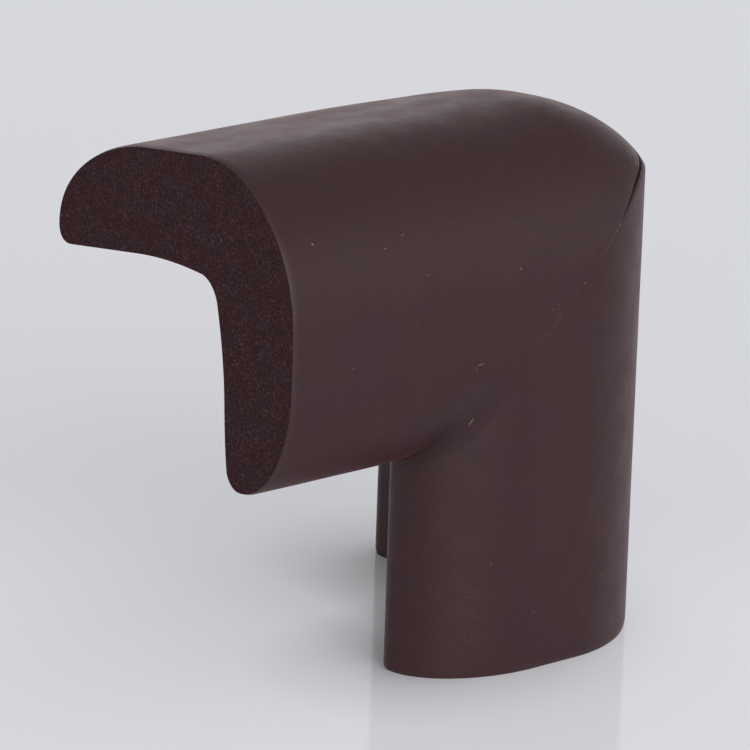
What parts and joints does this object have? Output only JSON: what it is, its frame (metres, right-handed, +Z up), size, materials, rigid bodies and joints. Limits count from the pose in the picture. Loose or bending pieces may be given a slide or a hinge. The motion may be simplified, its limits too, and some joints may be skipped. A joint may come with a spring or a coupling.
{
  "type": "furniture corner protector",
  "caption": "Soft foam bumper of L section, folded to a right angle, that wraps the two edges of a table corner and covers its point.",
  "frame": {"origin": "middle of the bounding box's underside, on the plane of the upright's cut end", "axes": "+Z up along the upright arm; the other arm points to -X; -Y is the shared front face with the seam; the side flange's free back edge faces +Y"},
  "size_m": [0.0598, 0.042, 0.0622],
  "materials": {
    "brown_foam": "smooth closed skin with a soft satin sheen; the cut ends show fine darker foam cells"
  },
  "bodies": {
    "root": {"corner_protector": "brown_foam"}
  },
  "joints": []
}
